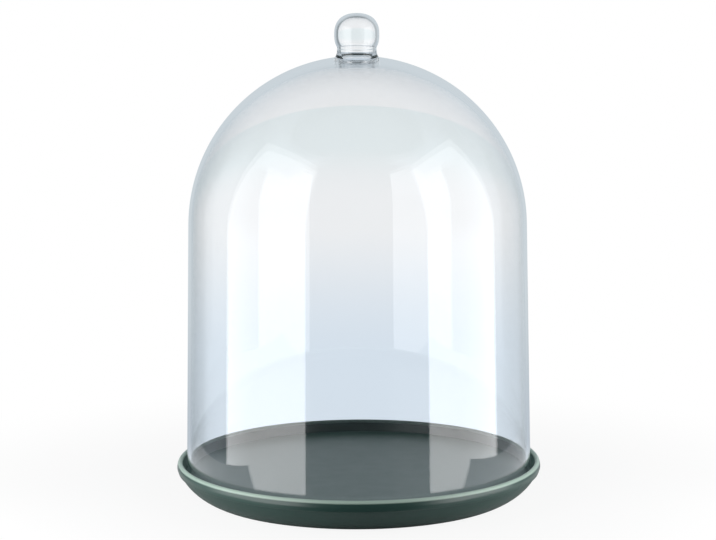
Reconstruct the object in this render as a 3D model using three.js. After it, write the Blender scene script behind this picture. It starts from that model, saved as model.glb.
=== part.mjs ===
// Display cloche: a clear dome with a hollow ball knob, standing loose in the well of a round tray.
// Millimetres, +Z up. The origin is the middle of the tray's foot ring, on the surface it stands on.

import * as THREE from 'three';

// Dome: a drafted bell with a round crown
const domeFootRadius = 111.2;
const domeHeight = 267.6;
const domeDraft = THREE.MathUtils.degToRad(1.1);
const domeWall = 2.4;
const crownThickness = 5.2;
const domeEdgeRound = 0.8;

// Knob: a hollow, slightly flattened ball with a short neck
const ballRadius = 14.3;
const ballRise = 13.6;
const ballSquareness = 2.4;
const ballWall = 2.4;
const neckInset = 1.8;
const neckWall = 2.2;
const neckLength = 0.7;
const neckFillet = 0.8;

// Stem on the crown that the neck is bonded to: a short flared tube, hollow down into the crown
const stemHeight = 4.8;
const stemFlare = 2.6;
const stemLand = 0.3;
const stemFloor = 2.6;

// Tray: a shallow well inside a rim with a full round outside, on a rounded skirt with a foot ring
const trayHeight = 22;
const wellDepth = 7.5;
const trayWall = 3;
const wellWallRun = 2.3;
const wellFillet = 1.2;
const rimThickness = 3.2;
const rimOuterRun = 2.2;
const rimOuterDrop = 4.5;
const lipTaper = 0.9;
const lipRise = 0.3;
const lipEdgeRound = 0.5;
const skirtCover = 3.7;
const skirtBulge = 1.9;
const footInset = 17.8;
const footEdgeRound = 1.2;

// Clearances between the pieces
const coverClearance = 0.8;
const seatGap = 0.3;

// Facets round the axis, and steps along the round stretches of an outline
const wideFacets = 48;
const knobFacets = 36;
const crownSteps = 13;
const ballSteps = 12;
const skirtSteps = 6;
const flareSteps = 6;
const roundSteps = 4;

const quarterTurn = Math.PI / 2;

// Points along an ellipse's arc about its middle, with angles measured from the outward direction
function arc(middleRadius, middleHeight, radiusAcross, radiusUp, startAngle, endAngle, steps) {
  const points = [];
  for (let step = 0; step <= steps; step += 1) {
    const angle = startAngle + ((endAngle - startAngle) * step) / steps;
    const across = middleRadius + radiusAcross * Math.cos(angle);
    const up = middleHeight + radiusUp * Math.sin(angle);
    points.push(new THREE.Vector2(across, up));
  }
  return points;
}

function point(radius, height) {
  return new THREE.Vector2(radius, height);
}

// A round fillet at a corner of an outline, between the straight runs from before and to after
function fillet(before, corner, after, radius) {
  const backward = before.clone().sub(corner).normalize();
  const forward = after.clone().sub(corner).normalize();
  const halfAngle = Math.acos(THREE.MathUtils.clamp(backward.dot(forward), -1, 1)) / 2;
  const reach = radius / Math.tan(halfAngle);
  const middleDistance = radius / Math.sin(halfAngle);
  const bisector = backward.clone().add(forward).normalize();
  const middle = corner.clone().addScaledVector(bisector, middleDistance);
  const start = corner.clone().addScaledVector(backward, reach).sub(middle);
  const end = corner.clone().addScaledVector(forward, reach).sub(middle);
  const startAngle = Math.atan2(start.y, start.x);
  const turn = Math.atan2(start.cross(end), start.dot(end));
  return arc(middle.x, middle.y, radius, radius, startAngle, startAngle + turn, roundSteps);
}

// A run between two points that bulges to the right of its direction
function bulged(start, end, bulge, steps) {
  const chord = end.clone().sub(start);
  const length = chord.length();
  const radius = length ** 2 / (8 * bulge) + bulge / 2;
  const inward = point(-chord.y, chord.x).normalize();
  const middle = start.clone().add(end).multiplyScalar(0.5).addScaledVector(inward, radius - bulge);
  const startAngle = Math.atan2(start.y - middle.y, start.x - middle.x);
  const endAngle = Math.atan2(end.y - middle.y, end.x - middle.x);
  return arc(middle.x, middle.y, radius, radius, startAngle, endAngle, steps);
}

// Points along a flattened ball, whose middle is at a height on the axis
function ballArc(middleHeight, radius, rise, startAngle, endAngle) {
  const squared = (value) => Math.sign(value) * Math.abs(value) ** (2 / ballSquareness);
  return arc(0, 0, 1, 1, startAngle, endAngle, ballSteps).map((place) =>
    point(radius * squared(place.x), middleHeight + rise * squared(place.y)),
  );
}

// The angle at which a flattened ball is so wide
function ballAngle(radius, width) {
  return Math.acos((width / radius) ** (ballSquareness / 2));
}

// A turned solid about +Z. The outline starts and ends on the axis, with the material on its left.
function turned(outline, facets) {
  const onAxis = (height) => point(0, height);
  const first = onAxis(outline[0].y);
  const last = onAxis(outline[outline.length - 1].y);
  const geometry = new THREE.LatheGeometry([first, ...outline.slice(1, -1), last], facets);
  geometry.rotateX(quarterTurn);
  return geometry;
}

// Sizes that follow from the driving dimensions
const wellFloorRadius = domeFootRadius + coverClearance;
const rimInnerRadius = wellFloorRadius + wellWallRun;
const trayRadius = rimInnerRadius + rimThickness;
const wellFloorHeight = trayHeight - wellDepth;
const crownMiddleHeight = (domeHeight - domeFootRadius * Math.cos(domeDraft)) / (1 - Math.sin(domeDraft));
const crownRadius = domeHeight - crownMiddleHeight;
const stemTopHeight = domeHeight + stemHeight;
const stemFloorHeight = domeHeight - crownThickness + stemFloor;
const neckRadius = ballRadius - neckInset;
const neckBoreRadius = neckRadius - neckWall;
const stemFootRadius = neckRadius + stemFlare;
const waistAngle = ballAngle(ballRadius, neckRadius);
const ballMiddleHeight = neckLength - ballArc(0, ballRadius, ballRise, -waistAngle, 0)[0].y;

// Tray outline: underside, skirt, foot ring, lip, rim and well
function trayOutline() {
  const underside = wellFloorHeight - trayWall;
  const footRadius = trayRadius - footInset;
  const lipBottom = wellFloorHeight + lipRise;
  const skirtTop = point(wellFloorRadius + skirtCover, lipBottom);
  const footOuter = point(footRadius, 0);
  const skirtSlope = (skirtTop.x - footRadius) / lipBottom;
  const skirtAcross = trayWall * Math.hypot(1, skirtSlope);
  const footInner = point(footRadius - skirtAcross, 0);
  const skirtInnerTop = point(footInner.x + skirtSlope * underside, underside);
  const skirt = bulged(footOuter, skirtTop, skirtBulge, skirtSteps);
  const lipCorner = point(trayRadius - lipTaper, lipBottom);
  const innerRound = rimThickness - rimOuterRun;
  const crestRadius = trayRadius - rimOuterRun;
  const rimOuter = point(trayRadius, trayHeight - rimOuterDrop);
  const rimInner = point(rimInnerRadius, trayHeight - innerRound);
  const rimOutside = arc(crestRadius, rimOuter.y, rimOuterRun, rimOuterDrop, 0, quarterTurn, 2 * roundSteps);
  const rimInside = arc(crestRadius, rimInner.y, innerRound, innerRound, quarterTurn, Math.PI, roundSteps);
  const wellCorner = point(wellFloorRadius, wellFloorHeight);
  const axisUnder = point(0, underside);
  const axisFloor = point(0, wellFloorHeight);
  return [
    axisUnder,
    skirtInnerTop,
    footInner,
    ...fillet(footInner, footOuter, skirt[1], footEdgeRound),
    ...skirt.slice(1),
    ...fillet(skirtTop, lipCorner, rimOuter, lipEdgeRound),
    ...rimOutside,
    ...rimInside.slice(1),
    ...fillet(rimInner, wellCorner, axisFloor, wellFillet),
    axisFloor,
  ];
}

// Dome outline, from its own foot: inside of the bell, lower edge, outside and stem
function domeOutline() {
  const slope = Math.tan(domeDraft);
  const innerFootRadius = domeFootRadius - domeWall;
  const innerRise = crownRadius - crownThickness;
  const innerRadiusAtMiddle = innerFootRadius - crownMiddleHeight * slope;
  const innerAcross = Math.sqrt(innerRadiusAtMiddle ** 2 - (innerRise * slope) ** 2);
  const innerTangent = Math.atan((innerRise / innerAcross) * slope);
  const stemAngle = Math.acos(stemFootRadius / crownRadius);
  const stemFootHeight = crownMiddleHeight + crownRadius * Math.sin(stemAngle);
  const flareTopHeight = stemTopHeight - stemLand;
  const flareRise = flareTopHeight - stemFootHeight;
  const inside = arc(0, crownMiddleHeight, innerAcross, innerRise, quarterTurn, innerTangent, crownSteps);
  const outside = arc(0, crownMiddleHeight, crownRadius, crownRadius, domeDraft, stemAngle, crownSteps);
  const flare = arc(stemFootRadius, flareTopHeight, stemFlare, flareRise, -quarterTurn, -Math.PI, flareSteps);
  const innerFoot = point(innerFootRadius, 0);
  const outerFoot = point(domeFootRadius, 0);
  return [
    ...inside,
    ...fillet(inside[crownSteps], innerFoot, outerFoot, domeEdgeRound),
    ...fillet(innerFoot, outerFoot, outside[0], domeEdgeRound),
    ...outside.slice(0, -1),
    ...flare,
    point(neckRadius, stemTopHeight),
    point(neckBoreRadius, stemTopHeight),
    point(neckBoreRadius, stemFloorHeight),
    point(0, stemFloorHeight),
  ];
}

// Knob outline, from the end of its own neck: hollow, neck end and ball
function knobOutline() {
  const hollowRadius = ballRadius - ballWall;
  const hollowRise = ballRise - ballWall;
  const hollowAngle = ballAngle(hollowRadius, neckBoreRadius);
  const hollow = ballArc(ballMiddleHeight, hollowRadius, hollowRise, quarterTurn, -hollowAngle);
  const ball = ballArc(ballMiddleHeight, ballRadius, ballRise, -waistAngle, quarterTurn);
  const neckEnd = point(neckRadius, 0);
  const waist = ball[0];
  return [
    ...hollow,
    point(neckBoreRadius, 0),
    neckEnd,
    ...fillet(neckEnd, waist, ball[1], neckFillet),
    ...ball.slice(1),
  ];
}

const melamine = new THREE.MeshStandardMaterial({ color: 0x4b5c57, roughness: 0.18, metalness: 0 });
const clearDome = new THREE.MeshStandardMaterial({
  color: 0xe4ecf1,
  roughness: 0.04,
  metalness: 0,
  transparent: true,
  opacity: 0.3,
});
const clearKnob = clearDome.clone();

function piece(name, outline, facets, material) {
  const mesh = new THREE.Mesh(turned(outline, facets), material);
  mesh.name = name;
  return mesh;
}

const tray = piece('tray', trayOutline(), wideFacets, melamine);
const dome = piece('dome', domeOutline(), wideFacets, clearDome);
const knob = piece('knob', knobOutline(), knobFacets, clearKnob);

// The cover is the dome with its knob: it lifts off the tray as one
const cover = new THREE.Group();
cover.position.z = wellFloorHeight + seatGap;
knob.position.z = stemTopHeight + seatGap;
cover.add(dome, knob);

const cloche = new THREE.Group();
cloche.add(tray, cover);

export default cloche;
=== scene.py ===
"""Display cloche: a clear dome with a ball knob, standing loose in the well of a round tray.

Every piece is round about one upright axis. Each is an outline, turned about that axis by one
Geometry Nodes tree. Sizes are in metres, in the frame of the packed model.
"""

import math

import bpy
from bpy.props import FloatProperty, FloatVectorProperty, IntProperty, PointerProperty
from bpy.types import Operator, Panel, PropertyGroup
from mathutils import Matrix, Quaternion, Vector


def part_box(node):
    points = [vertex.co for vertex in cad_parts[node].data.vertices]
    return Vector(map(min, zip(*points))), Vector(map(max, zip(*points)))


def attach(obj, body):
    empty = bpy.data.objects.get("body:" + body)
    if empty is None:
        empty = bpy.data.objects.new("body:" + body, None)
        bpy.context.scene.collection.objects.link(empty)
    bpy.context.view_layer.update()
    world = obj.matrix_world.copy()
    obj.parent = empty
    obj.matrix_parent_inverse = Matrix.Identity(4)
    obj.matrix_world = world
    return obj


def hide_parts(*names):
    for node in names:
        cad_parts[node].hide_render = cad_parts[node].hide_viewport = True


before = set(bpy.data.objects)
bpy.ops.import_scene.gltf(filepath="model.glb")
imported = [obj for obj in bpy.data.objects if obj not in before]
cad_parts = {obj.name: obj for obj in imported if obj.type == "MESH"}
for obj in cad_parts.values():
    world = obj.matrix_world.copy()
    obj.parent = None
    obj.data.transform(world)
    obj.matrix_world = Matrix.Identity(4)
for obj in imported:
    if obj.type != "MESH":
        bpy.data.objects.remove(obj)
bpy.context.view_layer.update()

bl_info = {
    "name": "Display Cloche",
    "version": (1, 0, 0),
    "blender": (4, 5, 0),
    "location": "3D View > Sidebar > Cloche",
    "description": "Dresses a display cloche's tray, clear dome and ball knob, and lights them in a studio",
    "category": "Add Mesh",
}

# What the frame says of the pieces' sizes and places
TRAY_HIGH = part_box("tray")[1]
DOME_LOW, DOME_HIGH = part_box("dome")
KNOB_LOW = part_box("knob")[0]

# The photograph's width in pixels, and the sensor's width in millimetres
PICTURE_WIDTH = 716
SENSOR_WIDTH = 36.0

# Points of a turned outline that lie closer than this become one
MERGE_DISTANCE = 1e-6

# A count of reflections over this is at least one, and under it none
HALF_A_BOUNCE = 0.5

# Surfaces that light crosses on its way through both of the dome's walls
BOTH_WALLS = 4.0

QUARTER_TURN = math.pi / 2


# Sizes and colours that a user would change


def length(name, description, default):
    """A length in metres, as a property."""
    return FloatProperty(
        name=name, description=description, default=default, min=0.0, precision=5, unit="LENGTH"
    )


def angle(name, description, degrees):
    """An angle, given in degrees, as a property."""
    return FloatProperty(
        name=name, description=description, default=math.radians(degrees), subtype="ANGLE"
    )


def share(name, description, default):
    """A number from 0 to 1, as a property."""
    return FloatProperty(
        name=name, description=description, default=default, min=0.0, max=1.0, subtype="FACTOR"
    )


def colour(name, description, default):
    """A colour in linear light, as a property."""
    return FloatVectorProperty(
        name=name, description=description, default=default, size=4, min=0.0, max=1.0, subtype="COLOR"
    )


def span(name, description, default):
    """A place along one axis, in metres, as a property."""
    return FloatProperty(name=name, description=description, default=default, precision=5, unit="LENGTH")


def pair(name, description, default):
    """Two lengths in metres, a place on the floor or the ends of a change, as a property."""
    return FloatVectorProperty(name=name, description=description, default=default, size=2, unit="LENGTH")


def sweep(name, description, default):
    """Two directions along an axis, from -1 to 1, that something changes between, as a property."""
    return FloatVectorProperty(
        name=name, description=description, default=default, size=2, min=-1.0, max=1.0
    )


def number(name, description, default, least=0.0):
    """A plain number, as a property."""
    return FloatProperty(name=name, description=description, default=default, min=least)


def count(name, description, default, least):
    """A whole number, as a property."""
    return IntProperty(name=name, description=description, default=default, min=least)


class ClocheTraySizes(PropertyGroup):
    """Sizes of the tray."""

    radius: length("Rim radius", "Outside of the rim", TRAY_HIGH.x)
    height: length("Height", "Top of the rim above the table", TRAY_HIGH.z)
    well_depth: length("Well depth", "Rim's top above the well's floor", 0.0075)
    wall: length("Wall", "Thickness of the floor and the skirt", 0.003)
    well_wall_run: length("Well wall run", "How far the well's wall leans out as it rises", 0.0023)
    well_fillet: length("Well fillet", "Round between the well's floor and its wall", 0.0012)
    rim_thickness: length("Rim thickness", "Width of the rim across its top", 0.0032)
    rim_outer_run: length("Rim outer run", "Rim's crest to its outside, across", 0.0022)
    rim_outer_drop: length("Rim outer drop", "Rim's crest to its widest, down its round outside", 0.0045)
    lip_taper: length("Lip taper", "How far the lip draws in below the rim", 0.0009)
    lip_rise: length("Lip rise", "Lip's lower edge above the well's floor", 0.0003)
    lip_edge_round: length("Lip edge round", "Round on the lip's lower edge", 0.0005)
    skirt_cover: length("Skirt cover", "How far the skirt's top lies outside the well's floor", 0.0037)
    skirt_bulge: length("Skirt bulge", "How far the skirt bulges past a straight slope", 0.0019)
    foot_inset: length("Foot inset", "How far the foot ring lies inside the rim", 0.0178)
    foot_edge_round: length("Foot edge round", "Round on the foot ring's outer edge", 0.0012)


class ClocheDomeSizes(PropertyGroup):
    """Sizes of the dome, and of the stem that the knob stands on."""

    foot_radius: length("Foot radius", "Outside of the dome's lower edge", DOME_HIGH.x)
    foot_height: length("Foot height", "Lower edge above the table", DOME_LOW.z)
    top_height: length("Top height", "Top of the stem above the table", DOME_HIGH.z)
    draft: angle("Draft", "Lean of the side wall", 1.1)
    wall: length("Wall", "Thickness of the wall at the lower edge", 0.0024)
    crown_thickness: length("Crown thickness", "Thickness of the wall under the knob", 0.0052)
    edge_round: length("Edge round", "Round on the lower edge", 0.0008)
    stem_height: length("Stem height", "Stem's top above the crown", 0.0048)
    stem_flare: length("Stem flare", "How far the stem flares out to its foot", 0.0026)
    stem_land: length("Stem land", "Straight stretch above the stem's flare", 0.0003)
    stem_floor: length("Stem floor", "Thickness of the crown under the stem's hollow", 0.0026)


class ClocheKnobSizes(PropertyGroup):
    """Sizes of the knob."""

    seat_height: length("Seat height", "End of the neck above the table", KNOB_LOW.z)
    ball_radius: length("Ball radius", "Outside of the ball, across", 0.0143)
    ball_rise: length("Ball rise", "Middle of the ball to its top", 0.0136)
    ball_squareness: number("Ball squareness", "2 is a plain ball, and more flattens its top", 2.4, 2.0)
    ball_wall: length("Ball wall", "Thickness of the hollow ball's wall", 0.0024)
    neck_inset: length("Neck inset", "How far the neck draws in from the ball", 0.0018)
    neck_wall: length("Neck wall", "Thickness of the neck's wall, and the stem's", 0.0022)
    neck_length: length("Neck length", "Neck's end to where it meets the ball", 0.0007)
    neck_fillet: length("Neck fillet", "Round where the neck meets the ball", 0.0008)


class ClocheFineness(PropertyGroup):
    """How finely the pieces are turned."""

    wide_facets: count("Wide facets", "Facets round the tray and the dome", 288, 48)
    knob_facets: count("Knob facets", "Facets round the knob", 144, 36)
    crown_steps: count("Crown steps", "Steps along the crown's arcs", 60, 13)
    ball_steps: count("Ball steps", "Steps along the ball's arcs", 48, 12)
    skirt_steps: count("Skirt steps", "Steps along the tray's rounded skirt", 24, 6)
    flare_steps: count("Flare steps", "Steps along the stem's flare", 16, 6)
    round_steps: count("Round steps", "Steps along each small round", 8, 4)
    longest_step: length("Longest step", "Longest straight step along an outline", 0.003)
    crease: angle("Crease", "Corners sharper than this stay sharp", 40.0)


class ClocheFinish(PropertyGroup):
    """Colours and finishes."""

    melamine: colour("Melamine", "Grey-green of the tray", (0.018, 0.054, 0.044, 1.0))
    melamine_pale: colour("Pale melamine", "Paler grey-green in its mottle", (0.023, 0.063, 0.052, 1.0))
    melamine_index: number("Melamine's refraction", "Refractive index of the melamine", 1.58, 1.0)
    mottle_scale: number("Mottle scale", "Fineness of the mottle in the melamine", 45.0)
    mottle_roughness: share("Mottle roughness", "How much of the mottle is fine", 0.6)
    sheen_scale: number("Sheen scale", "Fineness of the patches of smoother and duller melamine", 90.0)
    sheen_smooth: share("Smooth sheen", "Roughness of the smoothest patches", 0.30)
    sheen_dull: share("Dull sheen", "Roughness of the dullest patches", 0.38)
    skin_scale: number("Skin scale", "Fineness of the moulded skin on the melamine", 520.0)
    skin_strength: share("Skin strength", "How strongly the moulded skin shows", 0.08)
    skin_depth: length("Skin depth", "Depth of the moulded skin", 0.0003)
    # Painted highlight: a pale band painted along the top of the tray's rim, where light catches its round
    # crest
    rim_highlight: colour("Highlight rim", "Pale edge along the top of the tray's rim", (0.41, 0.53, 0.455, 1.0))
    rim_highlight_end: length("Highlight end", "Rim's top down to where its pale edge ends", 0.0022)
    rim_highlight_full: length("Highlight full", "Rim's top down to where its edge is at its palest", 0.0012)
    clear: colour("Clear plastic", "Tint of the dome and the knob", (0.985, 0.993, 1.0, 1.0))
    clear_cool: colour("Cool clear plastic", "Cooler tint in streaks", (0.977, 0.987, 0.997, 1.0))
    clear_index: number("Refraction", "Refractive index of the clear plastic", 1.49, 1.0)
    streak_scale: number("Streak scale", "Fineness of the cooler streaks", 12.0)
    flow_scale: number("Flow scale", "Fineness of the flow marks on the clear plastic", 22.0)
    flow_strength: share("Flow strength", "How strongly the flow marks show", 0.05)
    flow_depth: length("Flow depth", "Depth of the flow marks", 0.0004)


class ClocheStudio(PropertyGroup):
    """The camera, the lamps and the surroundings."""

    camera_distance: length("Camera distance", "Camera to the cloche's axis, along the floor", 1.8)
    camera_height: length("Camera height", "Camera above the table", 0.4455)
    aim_height: length("Aim height", "Where the camera's middle meets the axis", 0.1452)
    aim_offset: span("Aim offset", "How far the camera aims beside the axis", 0.0001)
    camera_roll: angle("Camera roll", "Turn of the camera about its own view", -0.27)
    focal_pixels: number("Focal length in pixels", "Lens, in pixels of the photograph", 2845.0)
    left_near: pair("Left softbox, near edge", "Where its edge by the camera stands", (-0.16, -0.284))
    left_far: pair("Left softbox, far edge", "Where its edge behind stands", (-0.30, -0.040))
    right_near: pair("Right softbox, near edge", "Where its edge by the camera stands", (0.22, -0.26))
    right_far: pair("Right softbox, far edge", "Where its edge behind stands", (0.301, -0.010))
    softbox_top: length("Softbox top", "Top of the softboxes above the table", 0.46)
    softbox_foot: length("Softbox foot", "Lower edge of the softboxes below the table", 0.06)
    softbox_fade: pair("Softbox fade", "Heights between which the softboxes grow dim", (0.023, 0.23))
    softbox_foot_level: number("Softbox foot level", "Brightness at their foot, where 1 is white", 3.1)
    softbox_top_level: number("Softbox top level", "Brightness at their top, where 1 is white", 1.2)
    far_wall_share: share("Far wall share", "How much of a softbox the dome's far wall shows", 0.45)
    room: colour("Room", "Dark side of the surroundings that gloss shows", (0.08, 0.09, 0.10, 1.0))
    room_behind: colour("Room behind", "Surroundings behind the cloche", (0.60, 0.66, 0.70, 1.0))
    room_below: colour("Room below", "Dim floor beyond the table", (0.49, 0.55, 0.61, 1.0))
    room_left: colour("Room on the left", "Dark wall behind, on the left", (0.22, 0.255, 0.27, 1.0))
    room_right: colour("Room on the right", "Surroundings to the right", (0.46, 0.50, 0.52, 1.0))
    room_top: sweep("Room's top", "Where the surroundings behind end, upwards", (0.35, 0.9))
    room_turn: sweep("Room's turn", "Where the dark side gives way to the surroundings behind", (-0.3, 0.3))
    floor_line: sweep("Floor line", "Where the dim floor meets the surroundings behind", (-0.22, -0.16))
    wall_side: sweep("Left wall's side", "Where the dark wall starts, from the far left", (-0.87, -0.75))
    wall_middle: sweep("Left wall's middle", "Where the dark wall ends, towards the middle", (-0.70, -0.32))
    right_start: sweep("Right start", "Where the surroundings to the right start", (0.38, 0.6))
    white: colour("White", "Backdrop and paper", (1.0, 1.0, 1.0, 1.0))
    # Painted shade on the paper, seen only through the clear plastic: bluer close behind the cloche, greyer
    # far off
    near_paper_shade: colour("Near paper", "Near paper seen through the cloche", (0.79, 0.875, 0.96, 1.0))
    far_paper_shade: colour("Far paper", "Far paper seen through the cloche", (0.895, 0.95, 0.955, 1.0))
    near_paper_shade_end: pair("Near paper's end", "Where the near tint fades, from the axis", (0.4, 1.2))
    far_paper_shade_start: pair("Far paper's start", "Where the far tint sets in, from the axis", (1.4, 2.8))
    paper_lift: share("Paper lift", "Share of even white in the floor that the camera sees", 0.9)
    shadow_end: pair("Shadow's end", "Where the shadow on the floor fades, from the axis", (0.12, 0.35))
    mirrored_shadow_end: pair("Mirrored shadow's end", "Where it fades for gloss", (0.115, 0.17))
    table_left: span("Table's left edge", "Left edge of the narrow table that gloss shows", -0.247)
    table_right: span("Table's right edge", "Right edge of the narrow table that gloss shows", 0.266)
    table_front: span("Table's front edge", "Front edge of the narrow table that gloss shows", -0.122)
    table_back: pair("Table's back", "Where the table fades from gloss, behind the axis", (0.02, 0.14))
    paper_white: share("Paper white", "How much of the lamps' light the table's paper throws back", 0.85)
    floor_half_width: length("Floor half width", "Middle of the floor to its edge", 12.0)
    bounces: count("Bounces", "Turns that light may take inside the clear plastic", 32, 12)


# Outlines, as points of radius and height about the axis


def arc(middle, across, up, start, end, steps):
    """Points along an ellipse's arc, with angles measured from the outward direction."""
    points = []
    for step in range(steps + 1):
        turn = start + (end - start) * step / steps
        points.append(Vector((middle.x + across * math.cos(turn), middle.y + up * math.sin(turn))))
    return points


def fillet(before, corner, after, radius, steps):
    """A round at a corner, between the straight runs from before and to after."""
    backward = (before - corner).normalized()
    forward = (after - corner).normalized()
    half_angle = backward.angle(forward) / 2
    reach = radius / math.tan(half_angle)
    middle = corner + (backward + forward).normalized() * (radius / math.sin(half_angle))
    start = corner + backward * reach - middle
    end = corner + forward * reach - middle
    start_angle = math.atan2(start.y, start.x)
    turn = math.atan2(start.x * end.y - start.y * end.x, start.dot(end))
    return arc(middle, radius, radius, start_angle, start_angle + turn, steps)


def bulged(start, end, bulge, steps):
    """A run between two points that bulges to the right of its direction."""
    chord = end - start
    radius = chord.length**2 / (8 * bulge) + bulge / 2
    inward = Vector((-chord.y, chord.x)).normalized()
    middle = (start + end) / 2 + inward * (radius - bulge)
    start_angle = math.atan2(start.y - middle.y, start.x - middle.x)
    end_angle = math.atan2(end.y - middle.y, end.x - middle.x)
    return arc(middle, radius, radius, start_angle, end_angle, steps)


def ball_arc(radius, rise, squareness, start, end, steps):
    """Points along a flattened ball about its own middle."""
    points = []
    for point in arc(Vector((0.0, 0.0)), 1.0, 1.0, start, end, steps):
        across, up = (math.copysign(abs(value) ** (2 / squareness), value) for value in point)
        points.append(Vector((radius * across, rise * up)))
    return points


def ball_angle(radius, width, squareness):
    """The angle at which a flattened ball is so wide."""
    return math.acos((width / radius) ** (squareness / 2))


def refined(outline, longest):
    """The outline with its long straight runs cut into steps, so that smooth shading stays true."""
    points = [outline[0]]
    for start, end in zip(outline, outline[1:]):
        steps = max(1, math.ceil((end - start).length / longest))
        points += [start.lerp(end, step / steps) for step in range(1, steps + 1)]
    return points


def tray_outline(sizes, fineness):
    """Underside, foot ring, skirt, lip, rim and well of the tray."""
    steps = fineness.round_steps
    rim_inner_radius = sizes.radius - sizes.rim_thickness
    well_floor_radius = rim_inner_radius - sizes.well_wall_run
    well_floor = sizes.height - sizes.well_depth
    underside = well_floor - sizes.wall
    foot_radius = sizes.radius - sizes.foot_inset
    lip_bottom = well_floor + sizes.lip_rise
    skirt_top = Vector((well_floor_radius + sizes.skirt_cover, lip_bottom))
    foot_outer = Vector((foot_radius, 0.0))
    skirt_slope = (skirt_top.x - foot_radius) / lip_bottom
    skirt_across = sizes.wall * math.hypot(1.0, skirt_slope)
    foot_inner = Vector((foot_radius - skirt_across, 0.0))
    skirt_inner_top = Vector((foot_inner.x + skirt_slope * underside, underside))
    skirt = bulged(foot_outer, skirt_top, sizes.skirt_bulge, fineness.skirt_steps)
    lip_corner = Vector((sizes.radius - sizes.lip_taper, lip_bottom))
    inner_round = sizes.rim_thickness - sizes.rim_outer_run
    crest_radius = rim_inner_radius + inner_round
    inner_middle = Vector((crest_radius, sizes.height - inner_round))
    outer_middle = Vector((crest_radius, sizes.height - sizes.rim_outer_drop))
    rim_inner = Vector((rim_inner_radius, inner_middle.y))
    rim_outer = Vector((sizes.radius, outer_middle.y))
    rim_outside = arc(
        outer_middle, sizes.rim_outer_run, sizes.rim_outer_drop, 0.0, QUARTER_TURN, 2 * steps
    )
    rim_inside = arc(inner_middle, inner_round, inner_round, QUARTER_TURN, math.pi, steps)
    well_corner = Vector((well_floor_radius, well_floor))
    axis_floor = Vector((0.0, well_floor))
    return [
        Vector((0.0, underside)),
        skirt_inner_top,
        foot_inner,
        *fillet(foot_inner, foot_outer, skirt[1], sizes.foot_edge_round, steps),
        *skirt[1:],
        *fillet(skirt_top, lip_corner, rim_outer, sizes.lip_edge_round, steps),
        *rim_outside,
        *rim_inside[1:],
        *fillet(rim_inner, well_corner, axis_floor, sizes.well_fillet, steps),
        axis_floor,
    ]


def dome_outline(sizes, knob, fineness):
    """Inside of the bell, lower edge, outside and stem of the dome."""
    steps = fineness.round_steps
    slope = math.tan(sizes.draft)
    crown_top = sizes.top_height - sizes.stem_height
    dome_height = crown_top - sizes.foot_height
    cylinder_rise = dome_height - sizes.foot_radius * math.cos(sizes.draft)
    crown_middle_height = cylinder_rise / (1 - math.sin(sizes.draft))
    crown_radius = dome_height - crown_middle_height
    crown_middle = Vector((0.0, sizes.foot_height + crown_middle_height))
    inner_foot = Vector((sizes.foot_radius - sizes.wall, sizes.foot_height))
    outer_foot = Vector((sizes.foot_radius, sizes.foot_height))
    inner_rise = crown_radius - sizes.crown_thickness
    inner_radius_at_middle = inner_foot.x - crown_middle_height * slope
    inner_across = math.sqrt(inner_radius_at_middle**2 - (inner_rise * slope) ** 2)
    inner_tangent = math.atan(inner_rise / inner_across * slope)
    neck_radius = knob.ball_radius - knob.neck_inset
    bore_radius = neck_radius - knob.neck_wall
    stem_floor = crown_top - sizes.crown_thickness + sizes.stem_floor
    stem_foot_radius = neck_radius + sizes.stem_flare
    stem_angle = math.acos(stem_foot_radius / crown_radius)
    stem_foot = crown_middle.y + crown_radius * math.sin(stem_angle)
    flare_middle = Vector((stem_foot_radius, sizes.top_height - sizes.stem_land))
    flare_rise = flare_middle.y - stem_foot
    flare = arc(flare_middle, sizes.stem_flare, flare_rise, -QUARTER_TURN, -math.pi, fineness.flare_steps)
    crown_steps = fineness.crown_steps
    inside = arc(crown_middle, inner_across, inner_rise, QUARTER_TURN, inner_tangent, crown_steps)
    outside = arc(crown_middle, crown_radius, crown_radius, sizes.draft, stem_angle, crown_steps)
    # The bell's inside starts on the axis, which the arc misses by a rounding
    inside[0].x = 0.0
    return [
        *inside,
        *fillet(inside[-1], inner_foot, outer_foot, sizes.edge_round, steps),
        *fillet(inner_foot, outer_foot, outside[0], sizes.edge_round, steps),
        *outside[:-1],
        *flare,
        Vector((neck_radius, sizes.top_height)),
        Vector((bore_radius, sizes.top_height)),
        Vector((bore_radius, stem_floor)),
        Vector((0.0, stem_floor)),
    ]


def knob_outline(sizes, fineness):
    """Hollow, neck end and ball of the knob."""
    squareness = sizes.ball_squareness
    steps = fineness.ball_steps
    neck_radius = sizes.ball_radius - sizes.neck_inset
    bore_radius = neck_radius - sizes.neck_wall
    hollow_radius = sizes.ball_radius - sizes.ball_wall
    hollow_rise = sizes.ball_rise - sizes.ball_wall
    waist_angle = ball_angle(sizes.ball_radius, neck_radius, squareness)
    hollow_angle = ball_angle(hollow_radius, bore_radius, squareness)
    ball = ball_arc(sizes.ball_radius, sizes.ball_rise, squareness, -waist_angle, QUARTER_TURN, steps)
    hollow = ball_arc(hollow_radius, hollow_rise, squareness, QUARTER_TURN, -hollow_angle, steps)
    middle = Vector((0.0, sizes.seat_height + sizes.neck_length - ball[0].y))
    ball = [middle + point for point in ball]
    hollow = [middle + point for point in hollow]
    # Both tops lie on the axis, which the arcs miss by a rounding
    hollow[0].x = 0.0
    ball[-1].x = 0.0
    neck_end = Vector((neck_radius, sizes.seat_height))
    return [
        *hollow,
        Vector((bore_radius, sizes.seat_height)),
        neck_end,
        *fillet(neck_end, ball[0], ball[1], sizes.neck_fillet, fineness.round_steps),
        *ball[1:],
    ]


# Nodes


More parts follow.
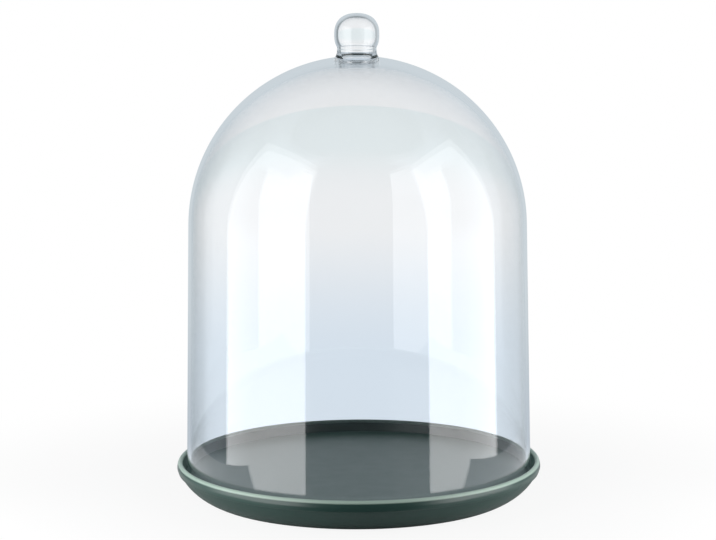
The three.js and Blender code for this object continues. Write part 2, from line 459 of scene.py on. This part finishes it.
def add_node(tree, kind, inputs=None, **settings):
    """A node with its settings, whose inputs take plain values or the outputs of other nodes."""
    node = tree.nodes.new(kind)
    for name, value in settings.items():
        setattr(node, name, value)
    for name, value in (inputs or {}).items():
        if isinstance(value, bpy.types.NodeSocket):
            tree.links.new(value, node.inputs[name])
        else:
            node.inputs[name].default_value = value
    return node


def add_math(tree, operation, first, second=0.0):
    """The output of a Math node."""
    return add_node(tree, "ShaderNodeMath", {0: first, 1: second}, operation=operation).outputs[0]


def add_ramp(tree, value, limits, start, end):
    """The output of a Map Range node that goes smoothly from start to end between two limits."""
    low, high = limits
    inputs = {"Value": value, "From Min": low, "From Max": high, "To Min": start, "To Max": end}
    node = add_node(tree, "ShaderNodeMapRange", inputs, interpolation_type="SMOOTHSTEP")
    return node.outputs["Result"]


def add_mix(tree, factor, first, second):
    """The output of a node that mixes two colours."""
    inputs = {"Factor": factor, "A": first, "B": second}
    return add_node(tree, "ShaderNodeMix", inputs, data_type="RGBA").outputs["Result"]


def add_shader_mix(tree, factor, first, second):
    """The output of a node that mixes two shaders."""
    return add_node(tree, "ShaderNodeMixShader", {0: factor, 1: first, 2: second}).outputs["Shader"]


def add_noise(tree, place, scale, detail, roughness=0.5):
    """The output of a Noise Texture node."""
    inputs = {"Vector": place, "Scale": scale, "Detail": detail, "Roughness": roughness}
    return add_node(tree, "ShaderNodeTexNoise", inputs).outputs["Fac"]


def add_bump(tree, height, strength, depth):
    """The output of a Bump node."""
    inputs = {"Height": height, "Strength": strength, "Distance": depth}
    return add_node(tree, "ShaderNodeBump", inputs).outputs["Normal"]


def add_seen(tree, ray):
    """1 for rays from the camera, also through clear plastic without a reflection, and 0 for others."""
    unreflected = add_math(tree, "LESS_THAN", ray["Glossy Depth"], HALF_A_BOUNCE)
    straight_through = add_math(tree, "MULTIPLY", ray["Is Transmission Ray"], unreflected)
    return add_math(tree, "MAXIMUM", ray["Is Camera Ray"], straight_through)


TURNING_INPUTS = {
    "Geometry": "NodeSocketGeometry",
    "Facets": "NodeSocketInt",
    "Crease": "NodeSocketFloat",
    "Material": "NodeSocketMaterial",
}


def turning_tree():
    """A tree that turns an outline about the axis: a grid of facets and outline points, wrapped round."""
    name = "Turn outline"
    if name in bpy.data.node_groups:
        return bpy.data.node_groups[name]
    tree = bpy.data.node_groups.new(name, "GeometryNodeTree")
    for label, kind in TURNING_INPUTS.items():
        tree.interface.new_socket(label, in_out="INPUT", socket_type=kind)
    tree.interface.new_socket("Geometry", in_out="OUTPUT", socket_type="NodeSocketGeometry")
    given = add_node(tree, "NodeGroupInput").outputs
    rows = add_node(
        tree, "GeometryNodeAttributeDomainSize", {"Geometry": given["Geometry"]}, component="MESH"
    ).outputs["Point Count"]
    columns = add_math(tree, "ADD", given["Facets"], 1.0)
    grid = add_node(tree, "GeometryNodeMeshGrid", {"Vertices X": columns, "Vertices Y": rows})
    index = add_node(tree, "GeometryNodeInputIndex").outputs["Index"]
    row = add_math(tree, "MODULO", index, rows)
    column = add_math(tree, "FLOOR", add_math(tree, "DIVIDE", index, rows))
    facet_angle = add_math(tree, "DIVIDE", 2 * math.pi, given["Facets"])
    turn = add_math(tree, "MULTIPLY", column, facet_angle)
    place = add_node(tree, "GeometryNodeInputPosition").outputs["Position"]
    outline_point = add_node(
        tree,
        "GeometryNodeSampleIndex",
        {"Geometry": given["Geometry"], "Value": place, "Index": row},
        data_type="FLOAT_VECTOR",
        domain="POINT",
    ).outputs["Value"]
    turned_point = add_node(
        tree, "ShaderNodeVectorRotate", {"Vector": outline_point, "Angle": turn}, rotation_type="Z_AXIS"
    ).outputs["Vector"]
    wrapped = add_node(
        tree, "GeometryNodeSetPosition", {"Geometry": grid.outputs["Mesh"], "Position": turned_point}
    ).outputs["Geometry"]
    closed = add_node(
        tree, "GeometryNodeMergeByDistance", {"Geometry": wrapped, "Distance": MERGE_DISTANCE}
    ).outputs["Geometry"]
    smooth = add_node(
        tree, "GeometryNodeSetShadeSmooth", {"Geometry": closed}, domain="FACE"
    ).outputs["Geometry"]
    bend = add_node(tree, "GeometryNodeInputMeshEdgeAngle").outputs["Unsigned Angle"]
    sharp = add_math(tree, "GREATER_THAN", bend, given["Crease"])
    creased = add_node(
        tree,
        "GeometryNodeSetShadeSmooth",
        {"Geometry": smooth, "Selection": sharp, "Shade Smooth": False},
        domain="EDGE",
    ).outputs["Geometry"]
    whole = add_node(tree, "GeometryNodeRealizeInstances", {"Geometry": creased}).outputs["Geometry"]
    finished = add_node(tree, "GeometryNodeSetMaterial", {"Geometry": whole, "Material": given["Material"]})
    add_node(tree, "NodeGroupOutput", {"Geometry": finished.outputs["Geometry"]})
    return tree


def turned_piece(name, outline, facets, fineness, material):
    """A closed piece: the outline turned about the axis, as a plain mesh."""
    points = refined(outline, fineness.longest_step)
    line = bpy.data.meshes.new(name + "_outline")
    edges = [(start, start + 1) for start in range(len(points) - 1)]
    line.from_pydata([(point.x, 0.0, point.y) for point in points], edges, [])
    holder = bpy.data.objects.new(name + "_outline", line)
    bpy.context.scene.collection.objects.link(holder)
    modifier = holder.modifiers.new("Turn", "NODES")
    modifier.node_group = turning_tree()
    values = {"Facets": facets, "Crease": fineness.crease, "Material": material}
    for socket in modifier.node_group.interface.items_tree:
        if socket.in_out == "INPUT" and socket.name in values:
            modifier[socket.identifier] = values[socket.name]
    evaluated = holder.evaluated_get(bpy.context.evaluated_depsgraph_get())
    mesh = bpy.data.meshes.new_from_object(evaluated)
    bpy.data.objects.remove(holder)
    bpy.data.meshes.remove(line)
    if not mesh.polygons:
        raise RuntimeError(f"{name} came out without a surface")
    mesh.name = name
    # The grid came with an empty slot before the material's own
    mesh.materials.pop(index=0)
    piece = bpy.data.objects.new(name, mesh)
    bpy.context.scene.collection.objects.link(piece)
    return piece


# Materials


def new_surface(name):
    """A new material and its empty tree."""
    material = bpy.data.materials.new(name)
    material.use_nodes = True
    material.node_tree.nodes.clear()
    return material, material.node_tree


def melamine(finish, tray):
    """Grey-green melamine: a mottle, a painted highlight along the rim's top, a moulded skin and patches of
    duller sheen.
    """
    material, tree = new_surface("gloss_melamine")
    place = add_node(tree, "ShaderNodeTexCoord").outputs["Object"]
    mottle = add_noise(tree, place, finish.mottle_scale, detail=4.0, roughness=finish.mottle_roughness)
    body_colour = add_mix(tree, mottle, finish.melamine, finish.melamine_pale)
    along = add_node(tree, "ShaderNodeSeparateXYZ", {"Vector": place}).outputs
    # Painted highlight: the rim's top is coloured pale, fading out down its round
    highlight_band = (tray.height - finish.rim_highlight_end, tray.height - finish.rim_highlight_full)
    highlight_share = add_ramp(tree, along["Z"], highlight_band, 0.0, 1.0)
    tone = add_mix(tree, highlight_share, body_colour, finish.rim_highlight)
    patches = add_noise(tree, place, finish.sheen_scale, detail=2.0)
    roughness = add_node(
        tree,
        "ShaderNodeMapRange",
        {"Value": patches, "To Min": finish.sheen_smooth, "To Max": finish.sheen_dull},
    ).outputs["Result"]
    skin = add_noise(tree, place, finish.skin_scale, detail=2.0)
    bump = add_bump(tree, skin, finish.skin_strength, finish.skin_depth)
    surface = add_node(
        tree,
        "ShaderNodeBsdfPrincipled",
        {"Base Color": tone, "Roughness": roughness, "Normal": bump, "IOR": finish.melamine_index},
    ).outputs["BSDF"]
    add_node(tree, "ShaderNodeOutputMaterial", {"Surface": surface})
    return material


def clear_plastic(finish):
    """Polished clear plastic with a faint flow in it, which lets the lamps' light through."""
    name = "polished_clear_plastic"
    if name in bpy.data.materials:
        return bpy.data.materials[name]
    material, tree = new_surface(name)
    place = add_node(tree, "ShaderNodeTexCoord").outputs["Object"]
    streaks = add_noise(tree, place, finish.streak_scale, detail=2.0)
    tint = add_mix(tree, streaks, finish.clear, finish.clear_cool)
    flow = add_noise(tree, place, finish.flow_scale, detail=1.0)
    bump = add_bump(tree, flow, finish.flow_strength, finish.flow_depth)
    glass = add_node(
        tree,
        "ShaderNodeBsdfPrincipled",
        {
            "Base Color": tint,
            "Roughness": 0.0,
            "IOR": finish.clear_index,
            "Transmission Weight": 1.0,
            "Normal": bump,
        },
    ).outputs["BSDF"]
    passing = add_node(tree, "ShaderNodeBsdfTransparent", {"Color": finish.clear}).outputs["BSDF"]
    ray = add_node(tree, "ShaderNodeLightPath").outputs
    for_lamps = add_shader_mix(tree, ray["Is Shadow Ray"], glass, passing)
    for_bounces = add_shader_mix(tree, ray["Is Diffuse Ray"], for_lamps, passing)
    add_node(tree, "ShaderNodeOutputMaterial", {"Surface": for_bounces})
    return material


def floor_paper(studio):
    """White paper that keeps the shadow. Seen through the clear plastic it has painted shade, bluer close
    behind the cloche and greyer far off. Gloss and the lamps find it only on a narrow table.
    """
    material, tree = new_surface("floor_paper")
    ray = add_node(tree, "ShaderNodeLightPath").outputs
    place = add_node(tree, "ShaderNodeTexCoord").outputs["Object"]
    along = add_node(tree, "ShaderNodeSeparateXYZ", {"Vector": place}).outputs
    away = add_node(tree, "ShaderNodeVectorMath", {0: place}, operation="LENGTH").outputs["Value"]
    # Painted shade: through the clear plastic, the paper darkens and turns bluer close behind the cloche,
    # and greyer far off
    near_shade = add_ramp(tree, away, studio.near_paper_shade_end, 1.0, 0.0)
    far_shade = add_ramp(tree, away, studio.far_paper_shade_start, 0.0, 1.0)
    near_shaded_colour = add_mix(tree, near_shade, studio.white, studio.near_paper_shade)
    behind_colour = add_mix(tree, far_shade, near_shaded_colour, studio.far_paper_shade)
    even_colour = add_mix(tree, ray["Is Transmission Ray"], studio.white, behind_colour)
    even = add_node(tree, "ShaderNodeEmission", {"Color": even_colour}).outputs["Emission"]
    white = studio.paper_white
    lit = add_node(tree, "ShaderNodeBsdfDiffuse", {"Color": (white, white, white, 1.0)}).outputs["BSDF"]
    seen = add_seen(tree, ray)
    seen_evenness = add_ramp(tree, away, studio.shadow_end, studio.paper_lift, 1.0)
    seen_lift = add_math(tree, "MULTIPLY", seen, seen_evenness)
    mirrored = add_math(tree, "MAXIMUM", ray["Is Glossy Ray"], ray["Is Transmission Ray"])
    mirrored_evenness = add_ramp(tree, away, studio.mirrored_shadow_end, 0.0, 1.0)
    mirrored_lift = add_math(tree, "MULTIPLY", mirrored, mirrored_evenness)
    lift = add_math(tree, "MAXIMUM", seen_lift, mirrored_lift)
    paper = add_shader_mix(tree, lift, lit, even)
    clear = add_node(tree, "ShaderNodeBsdfTransparent").outputs["BSDF"]
    right_of_edge = add_math(tree, "GREATER_THAN", along["X"], studio.table_left)
    left_of_edge = add_math(tree, "LESS_THAN", along["X"], studio.table_right)
    behind_edge = add_math(tree, "GREATER_THAN", along["Y"], studio.table_front)
    across = add_math(tree, "MULTIPLY", right_of_edge, left_of_edge)
    within = add_math(tree, "MULTIPLY", across, behind_edge)
    nearness = add_ramp(tree, along["Y"], studio.table_back, 1.0, 0.0)
    table = add_math(tree, "MULTIPLY", within, nearness)
    shown = add_math(tree, "MAXIMUM", seen, table)
    surface = add_shader_mix(tree, shown, clear, paper)
    add_node(tree, "ShaderNodeOutputMaterial", {"Surface": surface})
    return material


# Studio


def make_camera(studio):
    """The camera at the photograph's place, level but for its small roll."""
    data = bpy.data.cameras.new("photo_camera")
    data.sensor_width = SENSOR_WIDTH
    data.lens = SENSOR_WIDTH * studio.focal_pixels / PICTURE_WIDTH
    camera = bpy.data.objects.new("photo_camera", data)
    bpy.context.scene.collection.objects.link(camera)
    camera.location = (0.0, -studio.camera_distance, studio.camera_height)
    aim = Vector((studio.aim_offset, 0.0, studio.aim_height))
    level = (aim - camera.location).to_track_quat("-Z", "Y")
    roll = Quaternion((0.0, 0.0, 1.0), studio.camera_roll)
    camera.rotation_mode = "QUATERNION"
    camera.rotation_quaternion = level @ roll
    bpy.context.scene.camera = camera


def make_softbox(name, near, far, studio):
    """A tall softbox beside the table, facing the cloche. Near and far are its edges' places.

    Light from it that the dome's far wall mirrors is dimmed. Straight through both walls it isn't seen.
    """
    run = Vector(far) - Vector(near)
    middle = (Vector(near) + Vector(far)) / 2
    facing = Vector((run.y, -run.x, 0.0)).normalized()
    # The axis is where the softbox faces
    if facing.dot(middle.to_3d()) > 0:
        facing = -facing
    data = bpy.data.lights.new(name, "AREA")
    data.shape = "RECTANGLE"
    data.size = run.length
    data.size_y = studio.softbox_top + studio.softbox_foot
    data.energy = math.pi * data.size * data.size_y
    data.use_nodes = True
    tree = data.node_tree
    tree.nodes.clear()
    place = add_node(tree, "ShaderNodeNewGeometry").outputs["Parametric"]
    height = add_node(tree, "ShaderNodeSeparateXYZ", {"Vector": place}).outputs["Y"]
    fade = [(level + studio.softbox_foot) / data.size_y for level in studio.softbox_fade]
    brightness = add_ramp(tree, height, fade, studio.softbox_foot_level, studio.softbox_top_level)
    ray = add_node(tree, "ShaderNodeLightPath").outputs
    reflected = add_math(tree, "GREATER_THAN", ray["Glossy Depth"], HALF_A_BOUNCE)
    far_share = add_math(tree, "MULTIPLY", reflected, studio.far_wall_share)
    dimming = add_ramp(tree, ray["Transmission Depth"], (BOTH_WALLS - 1, BOTH_WALLS), 1.0, far_share)
    strength = add_math(tree, "MULTIPLY", brightness, dimming)
    glow = add_node(tree, "ShaderNodeEmission", {"Strength": strength}).outputs["Emission"]
    add_node(tree, "ShaderNodeOutputLight", {"Surface": glow})
    lamp = bpy.data.objects.new(name, data)
    bpy.context.scene.collection.objects.link(lamp)
    lamp.location = (middle.x, middle.y, (studio.softbox_top - studio.softbox_foot) / 2)
    lamp.rotation_mode = "QUATERNION"
    lamp.rotation_quaternion = facing.to_track_quat("-Z", "Y")
    lamp.visible_camera = False


def make_world(studio):
    """White for the camera. For gloss a room: dim behind, darker at its sides, dark towards the camera."""
    world = bpy.data.worlds.new("studio")
    world.use_nodes = True
    tree = world.node_tree
    tree.nodes.clear()
    ray = add_node(tree, "ShaderNodeLightPath").outputs
    direction = add_node(tree, "ShaderNodeTexCoord").outputs["Generated"]
    along = add_node(tree, "ShaderNodeSeparateXYZ", {"Vector": direction}).outputs
    low = add_ramp(tree, along["Z"], studio.room_top, 1.0, 0.0)
    far = add_ramp(tree, along["Y"], studio.room_turn, 0.0, 1.0)
    behind = add_math(tree, "MULTIPLY", low, far)
    below = add_ramp(tree, along["Z"], studio.floor_line, 1.0, 0.0)
    wall_start = add_ramp(tree, along["X"], studio.wall_side, 0.0, 1.0)
    wall_end = add_ramp(tree, along["X"], studio.wall_middle, 1.0, 0.0)
    leftness = add_math(tree, "MULTIPLY", wall_start, wall_end)
    rightness = add_ramp(tree, along["X"], studio.right_start, 0.0, 1.0)
    back_colour = add_mix(tree, below, studio.room_behind, studio.room_below)
    left_colour = add_mix(tree, leftness, back_colour, studio.room_left)
    behind_colour = add_mix(tree, rightness, left_colour, studio.room_right)
    surroundings = add_mix(tree, behind, studio.room, behind_colour)
    room = add_node(tree, "ShaderNodeBackground", {"Color": surroundings}).outputs["Background"]
    backdrop = add_node(tree, "ShaderNodeBackground", {"Color": studio.white}).outputs["Background"]
    surface = add_shader_mix(tree, add_seen(tree, ray), room, backdrop)
    add_node(tree, "ShaderNodeOutputWorld", {"Surface": surface})
    bpy.context.scene.world = world


def make_floor(studio):
    """A plain pale floor at the foot of the cloche."""
    half = studio.floor_half_width
    mesh = bpy.data.meshes.new("floor")
    corners = [(-half, -half, 0.0), (half, -half, 0.0), (half, half, 0.0), (-half, half, 0.0)]
    mesh.from_pydata(corners, [], [(0, 1, 2, 3)])
    mesh.materials.append(floor_paper(studio))
    floor = bpy.data.objects.new("floor", mesh)
    bpy.context.scene.collection.objects.link(floor)


def follow_clear_plastic(cycles, bounces):
    """Let light turn often enough inside the thick clear plastic to find its way out."""
    cycles.max_bounces = bounces
    cycles.glossy_bounces = bounces
    cycles.transmission_bounces = bounces


# Operators and panel


class CLOCHE_OT_make_tray(Operator):
    """Turn the tray and give it its melamine"""

    bl_idname = "cloche.make_tray"
    bl_label = "Make Tray"

    def execute(self, context):
        scene = context.scene
        outline = tray_outline(scene.cloche_tray, scene.cloche_fineness)
        material = melamine(scene.cloche_finish, scene.cloche_tray)
        facets = scene.cloche_fineness.wide_facets
        piece = turned_piece("melamine_tray", outline, facets, scene.cloche_fineness, material)
        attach(piece, "tray")
        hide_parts("tray")
        return {"FINISHED"}


class CLOCHE_OT_make_dome(Operator):
    """Turn the dome with its hollow stem in clear plastic"""

    bl_idname = "cloche.make_dome"
    bl_label = "Make Dome"

    def execute(self, context):
        scene = context.scene
        outline = dome_outline(scene.cloche_dome, scene.cloche_knob, scene.cloche_fineness)
        material = clear_plastic(scene.cloche_finish)
        facets = scene.cloche_fineness.wide_facets
        piece = turned_piece("clear_dome", outline, facets, scene.cloche_fineness, material)
        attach(piece, "cover")
        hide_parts("dome")
        return {"FINISHED"}


class CLOCHE_OT_make_knob(Operator):
    """Turn the hollow ball knob in clear plastic"""

    bl_idname = "cloche.make_knob"
    bl_label = "Make Knob"

    def execute(self, context):
        scene = context.scene
        outline = knob_outline(scene.cloche_knob, scene.cloche_fineness)
        material = clear_plastic(scene.cloche_finish)
        facets = scene.cloche_fineness.knob_facets
        piece = turned_piece("clear_knob", outline, facets, scene.cloche_fineness, material)
        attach(piece, "cover")
        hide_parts("knob")
        return {"FINISHED"}


class CLOCHE_OT_make_studio(Operator):
    """Set up the camera, the floor, the softboxes and the surroundings"""

    bl_idname = "cloche.make_studio"
    bl_label = "Make Studio"

    def execute(self, context):
        studio = context.scene.cloche_studio
        make_camera(studio)
        make_softbox("left_softbox", studio.left_near, studio.left_far, studio)
        make_softbox("right_softbox", studio.right_near, studio.right_far, studio)
        make_world(studio)
        make_floor(studio)
        context.scene.view_settings.view_transform = "Standard"
        follow_clear_plastic(context.scene.cycles, studio.bounces)
        return {"FINISHED"}


GROUPS = {
    "cloche_tray": ClocheTraySizes,
    "cloche_dome": ClocheDomeSizes,
    "cloche_knob": ClocheKnobSizes,
    "cloche_fineness": ClocheFineness,
    "cloche_finish": ClocheFinish,
    "cloche_studio": ClocheStudio,
}
OPERATORS = (CLOCHE_OT_make_tray, CLOCHE_OT_make_dome, CLOCHE_OT_make_knob, CLOCHE_OT_make_studio)


class CLOCHE_PT_sidebar(Panel):
    """Sizes, finishes and operators of the cloche"""

    bl_idname = "CLOCHE_PT_sidebar"
    bl_label = "Display Cloche"
    bl_space_type = "VIEW_3D"
    bl_region_type = "UI"
    bl_category = "Cloche"

    def draw(self, context):
        for name, group in GROUPS.items():
            box = self.layout.box()
            box.label(text=group.__doc__)
            for value in group.__annotations__:
                box.prop(getattr(context.scene, name), value)
        for operator in OPERATORS:
            self.layout.operator(operator.bl_idname)


CLASSES = (*GROUPS.values(), *OPERATORS, CLOCHE_PT_sidebar)


def register():
    for each in CLASSES:
        bpy.utils.register_class(each)
    for name, group in GROUPS.items():
        setattr(bpy.types.Scene, name, PointerProperty(type=group))


def unregister():
    for name in GROUPS:
        delattr(bpy.types.Scene, name)
    for each in reversed(CLASSES):
        bpy.utils.unregister_class(each)


def main():
    register()
    bpy.ops.cloche.make_studio()
    bpy.ops.cloche.make_tray()
    bpy.ops.cloche.make_dome()
    bpy.ops.cloche.make_knob()


if __name__ == "__main__":
    main()
